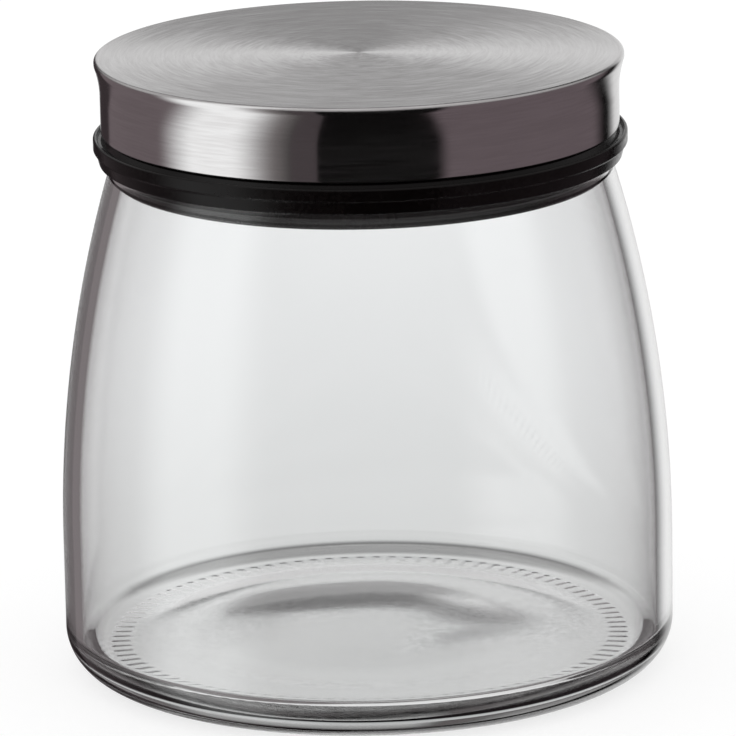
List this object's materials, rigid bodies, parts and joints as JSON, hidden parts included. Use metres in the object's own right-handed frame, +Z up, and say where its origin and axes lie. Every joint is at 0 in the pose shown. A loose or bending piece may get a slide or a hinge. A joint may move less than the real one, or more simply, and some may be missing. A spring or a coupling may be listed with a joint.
{
  "type": "storage canister",
  "caption": "Squat clear glass storage jar that narrows to its mouth, closed by a push-in brushed steel lid with a black lip seal; the lid lifts straight off.",
  "frame": {"origin": "centre of the bearing ring that the jar stands on", "axes": "+Z up along the axis of the jar and the lid; the object is round, so X and Y are free"},
  "size_m": [0.112, 0.112, 0.1137],
  "materials": {
    "clear_glass": "clear, fire-polished",
    "brushed_steel": "brushed in circles on the top and round the skirt",
    "black_plastic": "moulded, fine matt",
    "black_silicone": "moulded, satin"
  },
  "bodies": {
    "jar": {"glass_jar": "clear_glass"},
    "lid": {"lid_cap": "brushed_steel", "lid_insert": "black_plastic", "seal_ring": "black_silicone"}
  },
  "joints": [
    {"name": "lid_lift", "type": "slide", "parent": "jar", "child": "lid", "axis": [0, 0, 1], "range_m": [0, 0.12]}
  ]
}
